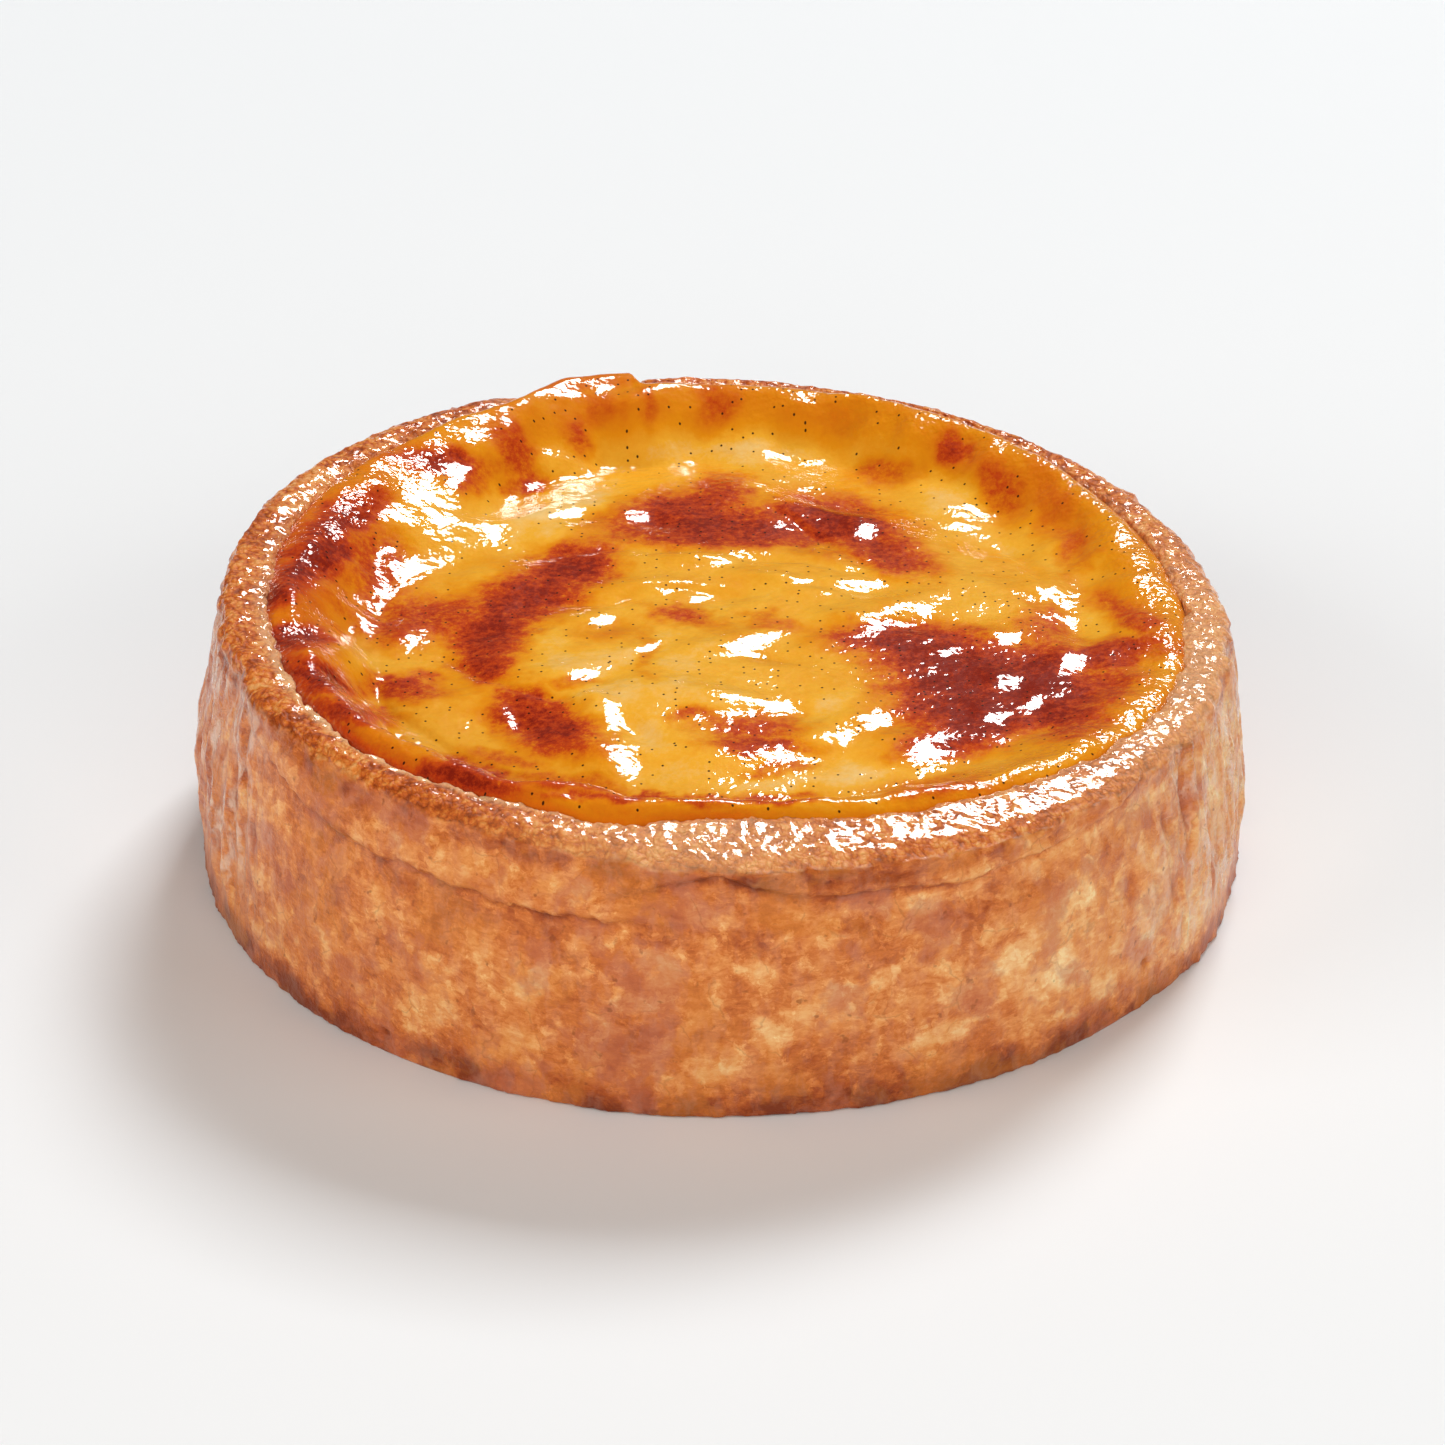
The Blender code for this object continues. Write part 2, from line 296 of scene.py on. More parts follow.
crust = {
    "around": 920,  # faces round the cup, 0.4 mm each
    "rimStep": 0.28,  # spacing of the rows over the rim
    "wallStep": 0.47,  # spacing of the rows down the wall
    "rimMiddle": 56.25,  # the rim's section is a flattened arch
    "rimHalfWidth": 3.15,
    "rimFoot": 29.5,
    "rimRise": 2.7,
    "wallRadius": 61.7,
    "mmPerDegree": 1.075,
    "wallTaper": 2.6,  # the wall leans in by this much over its upper three quarters
    "grain": 0.15,  # crumbs on the rim, height in mm
    "crag": 0.2,  # larger lumps on the rim
    "proudEdge": 0.25,  # the inner edge stands this much higher
    "raggedEdge": 0.75,  # how far the inner edge of the rim wanders
    "foldDepth": 0.72,  # upright folds on both sides and the back
    "sideWrinkles": 0.2,  # small upright wrinkles on them
    "frontWaves": 0.22,
    "collarDepth": 0.85,
    "seamDepth": 0.3,
    "hollowDepth": 0.4,  # the wall is hollow under the seam
    "wallShifts": (
        (-92, 16, 0.25), (-40, 16, -0.25), (-9, 9, 0.3), (46, 10, -0.25), (64, 7, 0.45), (76, 6, -0.3),
        (150, 24, -0.3), (-150, 20, 0.2),
    ),
    "upperShifts": ((-104, 32, -0.9),),
    "rimGlaze": ((18, 42, 0.5), (-100, 38, 0.4), (150, 60, 0.2)),  # more glaze on these parts of the rim
    "pooled": ((18, 42, 1.0),),  # where the glaze pooled the rim tips outward and is flatter
    "rimTip": 0.17,
    "rimLevel": 0.06,
    "rimScales": ((-3, 38, 1.0), (-100, 30, 0.4)),  # crumbs that lie like scales and catch the softbox
    "scaleLength": 1.9,
    "scaleRise": 0.28,
    "paleCrumbs": ((-45, 34, 0.9), (70, 40, 0.35)),  # paler along the inner edge
    "paleRim": ((76, 32, 0.55), (-3, 17, 0.4)),  # paler all over
    # lower edge of the folded collar, and the crack above it: (turn, height)
    "seam": (
        (-66, 31), (-58, 29), (-50, 26.3), (-40, 25.2), (-30, 25), (-22, 24), (-10, 24.4), (0, 24.2), (18, 24.6),
    ),
    "crack": (
        (-12, 27.4), (-8, 28.2), (-4, 29.3), (0, 30), (3, 28.6), (10, 27), (18, 27), (25, 26), (35, 26.4), (45, 27),
        (50, 27.8), (53, 30),
    ),
    # pits and grooves: (turn, height, half width, half height, depth)
    "pits": (
        (-38.5, 2.6, 0.7, 0.4, 0.8), (51.5, 5.6, 1, 0.5, 0.9), (49, 17, 1.3, 2, 0.5), (57, 13, 0.8, 2.6, 0.6),
        (56, 21.5, 0.7, 1.8, 0.7), (-64, 23, 1, 1.6, 0.5), (-70, 15, 0.9, 2.2, 0.5), (60, 22, 0.5, 5, 0.8),
        (66, 17, 0.6, 7, 0.9), (72, 24, 0.5, 4.5, 0.8), (78, 12, 0.6, 6, 0.8), (84, 20, 0.5, 5, 0.7),
        (-61, 17, 0.5, 2.6, 0.6), (-67, 21, 0.6, 4.5, 0.8), (-74, 15, 0.5, 6, 0.9), (-80, 22, 0.6, 4.5, 0.8),
        (-86, 13, 0.5, 6.5, 0.8), (-92, 21, 0.5, 5, 0.7),
    ),
    # cream blotches: (turn, height, half width, half height, tilt)
    "blotches": (
        (32, 15.2, 3.6, 1.9, 8), (3.5, 18.4, 2.6, 1.5, -20), (-31, 12.5, 2, 3.4, 30), (-32, 8.5, 3.2, 2.4, 0),
        (6, 11.5, 3.4, 2.2, 20), (22, 24.5, 2.6, 1.4, 10), (10, 22, 4, 1.2, 0), (41, 20, 2, 3, 40),
        (-6, 19, 2.6, 2.2, 0), (-20, 15, 1.6, 2.6, -40), (17, 16.5, 1.4, 1.4, 0), (38, 11, 3, 2, 0),
        (52, 12, 3, 3.4, 0), (-1.5, 6.5, 2.4, 1.6, 0), (24, 8, 4, 1.6, 10), (-12, 11.5, 2.4, 0.9, 0),
    ),
    "wallColours": ((0.05, "#F8DCA2"), (0.25, "#F0BC7C"), (0.42, "#E59B57"), (0.58, "#D27A3A"), (0.78, "#AE5624"),
                    (1.0, "#823816")),
    "zones": ((9.0, 0.35, "#DA8A3A"), (7.0, 0.5, "#BE6E50")),  # amber where fat ran, rosy where dough was denser
    # whitish colour of the painted sheen on the glazed sides
    "paintedSheenColour": "#EBCFBA",
    "speckColour": "#8A4522",
    "hairColour": "#9A5228",
    "rimColours": ((0.25, "#98400E"), (0.42, "#CC6420"), (0.55, "#E48838"), (0.72, "#F2B068")),
    "crumbColour": "#F2C490",
}


def resample(path, spacing):
    # points along a path at an even spacing
    path = np.asarray(path, dtype=float)
    run = np.concatenate([[0.0], np.cumsum(np.hypot(*np.diff(path, axis=0).T))])
    even = np.linspace(0.0, run[-1], max(2, round(run[-1] / spacing) + 1))
    return np.stack([np.interp(even, run, path[:, 0]), np.interp(even, run, path[:, 1])], axis=1)


def crustSection():
    angle = np.radians(np.linspace(0.0, 180.0, 361))
    arch = np.stack([crust["rimMiddle"] - crust["rimHalfWidth"] * np.cos(angle),
                     crust["rimFoot"] + crust["rimRise"] * np.sin(angle) ** 0.6], axis=1)
    height = np.linspace(crust["rimFoot"] - 0.3, 0.3, 120)
    taper = crust["wallTaper"] * np.clip((height - 8.0) / 23.0, 0.0, 1.0) ** 2
    wall = np.stack([crust["wallRadius"] - taper, height], axis=1)
    inside = np.array([(26.0, flan["floor"]), (46.0, flan["floor"]), (50.6, 7.0), (52.6, 23.0), (53.0, 28.4)])
    under = np.array([(61.2, 0.0), (30.0, 0.0)])
    return np.concatenate([inside, resample(arch, crust["rimStep"]), resample(wall, crust["wallStep"]), under])


def interpolate(turn, pairs):
    return np.interp(turn, [p[0] for p in pairs], [p[1] for p in pairs])


def collarRelief(turn, z):
    # the dough is folded over at the front: a step that stands out above the seam, with a crease under it
    below = interpolate(turn, crust["seam"])
    above = interpolate(turn, crust["crack"])
    onSeam = smoothStep((turn + 66.0) / 8.0) * smoothStep((2.0 - turn) / 16.0)
    onCrack = smoothStep((turn + 15.0) / 6.0) * smoothStep((54.5 - turn) / 3.0)
    relief = np.zeros(np.shape(turn))
    crease = np.zeros(np.shape(turn))
    line = flatPoints(turn * crust["mmPerDegree"], turn * 0.0)
    wobble = 0.55 * layered(line, 5.0, 65, 4, 0.7)
    fade = 0.75 + 0.5 * noise(line, 6.0, 67)
    for edge, share in ((below + wobble, onSeam * fade), (above - 0.6 * wobble, onCrack * fade)):
        step = smoothStep((z - edge) / 0.9 + 0.5) * bell(np.maximum(z - edge - 2.0, 0.0) / 2.6)
        groove = bell((z - edge + 0.35) / 0.5)
        hollow = bell((z - edge + 2.4) / 1.9)
        relief += share * (crust["collarDepth"] * step - crust["seamDepth"] * groove - crust["hollowDepth"] * hollow)
        crease = np.maximum(crease, share * groove)
    return relief, crease


def wallRelief(points, turn, z):
    relief = shifted(0.0, crust["wallShifts"], turn) * smoothStep((flan["rimHeight"] + 1.0 - z) / 8.0)
    relief += shifted(0.0, crust["upperShifts"], turn) * smoothStep((z - 14.0) / 12.0)
    front = smoothStep((64.0 - np.abs(turn + 3.0)) / 14.0)
    upright = smoothStep((z - 2.0) / 6.0)
    around = flatPoints(turn * crust["mmPerDegree"], z)
    bent = around + flatPoints(noise(points, (9, 9, 12), 3) * 1.6, z * 0.0)
    folds = layered(bent, (3.4, 24.0, 9.0), 11, 3, 0.55) + 0.5 * noise(bent, (7.0, 40.0, 9.0), 15)
    relief += (1.0 - front) * upright * crust["foldDepth"] * folds
    relief += front * crust["frontWaves"] * layered(points, (9, 9, 6), 21, 3, 0.5)
    relief += 0.05 * layered(points, 1.7, 31, 2, 0.6)
    relief += (1.0 - front) * upright * crust["sideWrinkles"] * layered(bent, (1.5, 4.5, 3.0), 35, 3, 0.6)
    pitted = np.zeros(len(turn))
    stray = 0.9 * noise(around, (5.0, 3.5, 9.0), 5)
    for at, height, halfWide, halfHigh, depth in crust["pits"]:
        pit = bell(np.hypot((wrapped(turn - at) * crust["mmPerDegree"] + stray) / halfWide, (z - height) / halfHigh))
        relief -= depth * pit
        pitted = np.maximum(pitted, pit)
    return relief, pitted


def buildCrust(material):
    section = crustSection()
    rows, around = len(section), crust["around"]
    column = np.arange(around) * 360.0 / around - 180.0
    turn = np.tile(column, rows)
    radius = np.repeat(section[:, 0], around)
    z = np.repeat(section[:, 1], around)

    rough = leaned(radius, turn, z)
    realZ = rough[:, 2]
    ragged = layered(rough, 2.4, 43, 3, 0.6)
    cut = smoothStep((z - 30.2 + 0.5 * ragged) / 1.1) * smoothStep((60.0 - radius + 0.5 * ragged) / 0.9)
    rimShare = np.clip((radius - flan["innerRadius"]) / (flan["rimRadius"] - flan["innerRadius"]), 0.0, 1.0)
    upper = smoothStep((z - flan["floor"]) / 20.0)
    innerEdge = smoothStep((55.6 - radius) / 2.2) * smoothStep((z - 29.0) / 1.6)
    moved = radius + (1.0 - rimShare) * upper * (innerCorner(turn) - flan["innerRadius"])
    moved += innerEdge * crust["raggedEdge"] * (layered(rough, 3.2, 41, 3, 0.6) - 0.55)
    # the outer edge of the rim is a little lumpy as well
    moved += 0.3 * layered(rough, 3.0, 45, 3, 0.6) * smoothStep((radius - 57.5) / 1.2) * smoothStep((z - 27.5) / 2.0)
    onWall = (radius > flan["rimRadius"] - 0.6) & (z > 0.1)
    wallShare = smoothStep((radius - 57.8) / 1.5) * (z > 0.1)
    collar, crease = collarRelief(turn, realZ)
    relief, pitted = wallRelief(rough, turn, realZ)
    moved += wallShare * (relief + collar)

    top = smoothStep((z - 30.4) / 0.9)
    grains = crust["grain"] * (layered(rough, 1.3, 51, 2, 0.7) + 0.4 * np.abs(noise(rough, 2.0, 57)))
    lumps = crust["crag"] * layered(rough, 4.5, 61, 2, 0.5)
    lift = flapLift(turn)
    proud = smoothStep((radius - 52.9) / 0.6) * smoothStep((55.4 - radius) / 1.6) * (z > 29.0)
    glazed = shifted(0.0, crust["pooled"], turn)
    grains = grains * (1.0 + 1.6 * proud) * (1.0 - 0.6 * glazed)
    fromMiddle = radius - crust["rimMiddle"]
    tip = glazed * (crust["rimLevel"] * np.minimum(fromMiddle ** 2, 3.2) - crust["rimTip"] * fromMiddle)
    along = turn * 0.98 / crust["scaleLength"] + 1.3 * layered(rough, 2.4, 59, 2, 0.5)
    rest = along - np.floor(along)
    scales = np.where(rest < 0.78, 0.5 - rest / 0.78, (rest - 0.78) / 0.22 - 0.5)
    tip += crust["scaleRise"] * scales * shifted(0.0, crust["rimScales"], turn) * (radius < 59.0)
    lifted = z + top * (grains + lumps + tip + crust["proudEdge"] * proud) * (1.0 - lift)
    seat = flan["rimHeight"] - flan["flapSeat"]
    lifted += top * lift * np.minimum(seat - lifted, 0.0)
    moved += cut * 0.5 * grains

    # the bottom edge is a little ragged where the dough met the tray
    foot = smoothStep((1.8 - z) / 1.4) * (z > 0.1) * onWall
    moved += foot * (0.28 * layered(rough, 2.2, 71, 3, 0.7))
    points = np.concatenate([leaned(moved, turn, lifted), [[0.0, 0.0, flan["floor"]], [0.0, 0.0, 0.0]]])

    i = np.arange(around)
    nextOne = (i + 1) % around
    quads = np.concatenate([np.stack([r * around + i, r * around + nextOne, (r + 1) * around + nextOne,
                                      (r + 1) * around + i], axis=1) for r in range(rows - 1)])
    last = (rows - 1) * around
    triangles = np.concatenate([np.stack([i, np.full(around, rows * around), nextOne], axis=1),
                                np.stack([last + i, last + nextOne, np.full(around, rows * around + 1)], axis=1)])

    # tone of the pastry: darker at the foot and just under the rim, lighter on the cream blotches, with painted shade
    # in the pits, the grooves and the hollow under the seam
    toneAndShade = 0.5 + 0.12 * layered(rough, (14, 14, 8), 81, 2, 0.5)
    toneAndShade += (0.38 + 0.25 * noise(rough, 5.0, 83)) * smoothStep((5.5 - realZ) / 4.5)
    toneAndShade += (0.22 + 0.25 * noise(rough, 4.0, 85)) * wallShare * bell((z - 29.7) / 1.3)
    # painted shade: darker in the pits, in the grooves of the seam and the crack, and in the hollow under the seam
    toneAndShade += 0.3 * pitted + 0.3 * crease + 0.1 * bell((realZ - interpolate(turn, crust["seam"]) + 2.0) / 1.6)
    # lighter towards the right, turns 15 to 110: partly a paler bake, partly painted sheen
    toneAndShade -= 0.2 * smoothStep((turn - 15.0) / 35.0) * smoothStep((110.0 - turn) / 20.0)
    warpX = turn * crust["mmPerDegree"] + 1.1 * noise(rough, 2.6, 91)
    warpZ = realZ + 0.9 * noise(rough, 2.2, 92)
    blotch = np.zeros(len(turn))
    for at, height, halfWide, halfHigh, tilt in crust["blotches"]:
        reach = ellipse(warpX, warpZ, (at * crust["mmPerDegree"], height, halfWide, halfHigh, tilt))
        blotch = np.maximum(blotch, smoothStep((1.25 - reach) / 0.5))
    onRim = cut * (1.0 - 0.6 * lift)
    # glaze ran down both sides of the wall, less round the back
    sides = smoothStep((np.abs(turn + 4.0) - 48.0) / 18.0) * smoothStep((z - 1.0) / 8.0)
    sides *= 1.0 - 0.7 * smoothStep((np.abs(turn) - 92.0) / 30.0)
    glaze = 0.1 + 0.8 * wallShare * sides * np.clip(0.8 + layered(rough, 6.0, 95, 2, 0.5), 0.2, 1.3)
    attributes = {
        "toneAndShade": np.append(toneAndShade, [0.5, 0.6]),
        "blotch": np.append(blotch * wallShare, [0.0, 0.0]),
        "cutRim": np.append(onRim, [0.0, 0.0]),
        "glaze": np.append(np.maximum(glaze, onRim * shifted(0.5, crust["rimGlaze"], turn)), [0.0, 0.0]),
        "crumbs": np.append(np.maximum(proud * shifted(0.15, crust["paleCrumbs"], turn),
                                       shifted(0.0, crust["paleRim"], turn)), [0.0, 0.0]),
    }
    return meshPiece("browned_crust", points, quads, triangles, attributes, material, "pastry_crust")


def bakedShortcrust():
    # Baked shortcrust pressed in a ring: satin, tan to red-brown with cream blotches where butter lay, and a
    # granular cut rim that took the glaze, so it glitters.
    made, tree, shader = newMaterial("bakedShortcrust")
    place = addNode(tree, "TexCoord").outputs["Object"]
    toneAndShade, blotch, cutRim, glaze, crumbs = [attributeOf(tree, name) for name in
                                            ("toneAndShade", "blotch", "cutRim", "glaze", "crumbs")]
    bend = noiseOf(tree, place, 2.0, 3.0, output="Color")
    bent = addNode(tree, "VectorMath", {0: bend, 1: (1.8 * mm, 1.8 * mm, 1.8 * mm), 2: place},
                   operation="MULTIPLY_ADD").outputs["Vector"]

    # how brown: wide zones of 9 mm, grain of 1.5 mm, level crackle 2 mm long and 0.6 mm high
    wide = noiseOf(tree, place, 9.0, 6.0, 0.6, 0.5)
    fine = noiseOf(tree, place, 1.5, 5.0, 0.65)
    level = addNode(tree, "Mapping", {"Vector": bent, "Scale": (1.0, 1.0, 3.4)}).outputs["Vector"]
    crackle = noiseOf(tree, level, 2.0, 6.0, 0.76)
    # the pastry's tone starts here, with the painted shade of the pits, grooves and hollow in it
    brown = toneAndShade
    for value, times in ((wide, 0.6), (fine, 0.3), (blotch, -0.2), (crackle, -0.62)):
        brown = scaledBy(tree, value, times, brown)
    # flakes of dough, each its own tone: 3 mm ones with 1.4 mm ones over them
    for flakeSize, contrast in ((3.2, 0.08), (1.4, 0.07)):
        flake = addNode(tree, "TexVoronoi", {"Vector": bent, "Scale": perMetre(flakeSize)}).outputs["Color"]
        tone = addNode(tree, "SeparateColor", {"Color": flake}).outputs[0]
        brown = scaledBy(tree, tone, contrast, brown)
    # cream patches with crisp edges, 2 to 5 mm, between the named blotches
    flaky = noiseOf(tree, place, 4.6, 6.0, 0.62, 0.25)
    crisp = noiseOf(tree, bent, 2.4, 5.0, 0.62)
    for value, first, last, change in ((flaky, 0.5, 0.6, -0.17), (crisp, 0.57, 0.6, -0.12), (crisp, 0.4, 0.36, 0.06)):
        brown = scaledBy(tree, fitted(tree, value, first, last, 0.0, change), 1.0, brown)
    brown = scaledBy(tree, brown, 1.0, -0.1)
    wallColour = addNode(tree, "ValToRGB", {"Fac": brown}, stops=crust["wallColours"]).outputs["Color"]
    for zoneSize, most, code in crust["zones"]:
        zone = noiseOf(tree, bent, zoneSize, 5.0, 0.6)
        wallColour = mixed(tree, fitted(tree, zone, 0.52, 0.6, 0.0, most), wallColour, code)
    # painted sheen: whitish streaks on the folds of the glazed sides, in place of the glaze's reflections
    tall = addNode(tree, "Mapping", {"Vector": bent, "Scale": (1.0, 1.0, 0.35)}).outputs["Vector"]
    wrinkle = noiseOf(tree, tall, 1.7, 3.0, 0.6)
    paintedSheen = scaledBy(tree, fitted(tree, wrinkle, 0.47, 0.64, 0.0, 0.75), glaze)
    wallColour = mixed(tree, paintedSheen, wallColour, crust["paintedSheenColour"])
    # burnt specks, 0.5 mm and far apart
    speck = noiseOf(tree, place, 1.3, 2.0)
    wallColour = mixed(tree, fitted(tree, speck, 0.68, 0.76, 0.0, 0.6), wallColour, crust["speckColour"])
    # hair cracks of the baked dough, about 6 mm long
    hair = addNode(tree, "TexVoronoi", {"Vector": bent, "Scale": perMetre(7.0)},
                   feature="DISTANCE_TO_EDGE").outputs["Distance"]
    hair = scaledBy(tree, fitted(tree, hair, 0.004, 0.02, 0.3, 0.0), fitted(tree, flaky, 0.52, 0.58))
    wallColour = mixed(tree, hair, wallColour, crust["hairColour"])

    # crumbs of the cut rim, 0.7 mm: rounded grains, with painted shade between them
    grain = addNode(tree, "TexVoronoi", {"Vector": bent, "Scale": perMetre(0.7)}).outputs["Distance"]
    rimTone = scaledBy(tree, wide, 0.8, -0.26)
    rimTone = scaledBy(tree, noiseOf(tree, place, 1.6, 4.0, 0.7), 1.0, rimTone)
    # painted shade between the grains
    rimTone = scaledBy(tree, grain, -0.35, rimTone)
    rimColour = addNode(tree, "ValToRGB", {"Fac": rimTone}, stops=crust["rimColours"]).outputs["Color"]
    rimColour = mixed(tree, crumbs, rimColour, crust["crumbColour"])
    colour = mixed(tree, cutRim, wallColour, rimColour)

    # relief: pores of the dough, 0.3 to 0.5 mm, grain, and wrinkles where the glaze dried
    pores = noiseOf(tree, place, 0.45, 3.0, 0.6)
    wallRough = scaledBy(tree, scaledBy(tree, wrinkle, glaze), 3.0, scaledBy(tree, pores, 1.7, fine))
    relief = mixed(tree, cutRim, wallRough, scaledBy(tree, grain, -2.2, pores))
    roughPart = addNode(tree, "Math", {0: cutRim, 1: glaze}, operation="MAXIMUM").outputs[0]
    strength = fitted(tree, roughPart, 0.0, 1.0, 0.45, 0.95)
    # the glaze fills the grain, most where there is most of it; on the rim it is a skin of beads, 0.9 mm, each
    # smooth, so they sparkle
    coatStrength = mixed(tree, cutRim, strength, fitted(tree, glaze, 0.4, 1.0, 0.5, 0.2))
    bead = scaledBy(tree, noiseOf(tree, place, 0.9, 1.0), 2.2)
    coatBump = bumpOf(tree, mixed(tree, cutRim, wallRough, bead), coatStrength, 0.18)
    finishShader(tree, shader, {
        "Base Color": colour, "Normal": bumpOf(tree, relief, strength, 0.18), "Coat Normal": coatBump,
        "Roughness": fitted(tree, cutRim, 0.0, 1.0, 0.4, 0.55), "Coat Weight": glaze,
    }, {
        "IOR": 1.5,
        "Specular IOR Level": 0.25,  # porous dough is duller than a solid
        "Coat Roughness": 0.04,
        "Coat IOR": 1.47,  # the glaze that ran over the rim
        "Subsurface Weight": 0.12,  # light creeps a little way into pale crumb
        "Subsurface Radius": (1.0, 0.45, 0.2),
        "Subsurface Scale": 1.0 * mm,
    })
    return made


buildCrust(bakedShortcrust())


# Custard filling

custard = {
    "across": 296,  # cells across the skin, 0.35 mm each
    "edgeInset": 0.3,  # the skin starts this far inside the rim's corner
    "lipHeight": 30.2,  # lower edge of the skin
    "moatHeight": 27.0,
    "plateauRise": 2.0,
    "plateauCentre": (0.0, 2.0),
    "plateauReach": (33.0, 38.0),
    "plateauShifts": ((66, 32, 0.5), (105, 20, 0.15)),  # reaches this share further towards these turns
    "plateauFall": 0.36,
    "crestRise": 2.0,  # the ring's top above the rim
    "crestInset": 2.6,  # and inside its corner
    "crestFall": 8.5,  # width of its inner slope
    "edgeDip": 0.3,  # the edge of the skin lies this much below the rim
    "edgeDipShifts": ((-55, 38, 1.1), (-10, 12, 0.5)),
    "crestRiseShifts": (
        (176, 14, -0.5), (-95, 40, -1.1), (75, 38, -1.6), (-18, 12, 0.3), (30, 12, -0.3), (-52, 6, 0.3),
        (-63, 4, -0.45), (-69, 3, 0.35), (-76, 4, -0.5), (-85, 5, 0.4), (-97, 5, -0.3), (-135, 14, 0.3),
        (150, 16, 0.3),
    ),
    "crestInsetShifts": ((-13, 5, 1.4), (3, 11, -0.9), (-88, 34, 1.2), (88, 40, 0.2), (176, 36, -0.5),
                         (-161, 8, -1.2)),
    "crestFallShifts": ((92, 40, 3.0), (-170, 40, 1.8), (-120, 34, 3.6)),
    # swells and hollows: (x, y, half length, half width, turn, rise)
    "swells": (
        (-21, 29, 13, 6, 40, 1.1), (4, 33, 10, 5, -30, 0.8), (12, 23, 12, 4, -28, -0.7), (0, 15, 15, 4, -8, 0.5),
        (-24, 4, 12, 5, 60, -0.6), (-9, -16, 10, 8, 70, 0.6), (2, -27, 9, 4, 0, -0.5), (30, -12, 13, 10, 75, -0.6),
        (21, 4, 10, 4, 15, 0.6), (-38, 8, 9, 5, 85, 1), (-36, 22, 10, 7, 60, 1.2), (-35, -15, 8, 4, -60, 0.7),
        (41, 12, 10, 4, 100, 0.8), (44, -8, 9, 3, 28, 0.7), (33, 36, 8, 5, 130, 0.9), (-20, -25, 8, 6, -40, -0.5),
    ),
    "wander": 1.6,  # how far the ring's inner slope strays
    "crestWave": 0.3,  # the ring's waves of 7 mm and lumps of 3 mm
    "crestLumps": 0.11,
    "wrinkle": 0.03,  # fine wrinkles of the skin, height in mm
    "wave": 0.16,  # broader unevenness
    "calmSlope": (-45, -4, 6, 14, 0),  # this slope of the ring is smooth
    "fewBeads": ((0, 30, -0.5), (-160, 24, -0.75)),
    "colours": ((0.0, "#EECC86"), (0.12, "#F0B232"), (0.26, "#E6960E"), (0.42, "#DA780C"), (0.6, "#C64C10"),
                (0.8, "#AE3610"), (1.0, "#861F0A")),
    "seedColour": "#2B1206",
    "seedShare": 0.19,
}

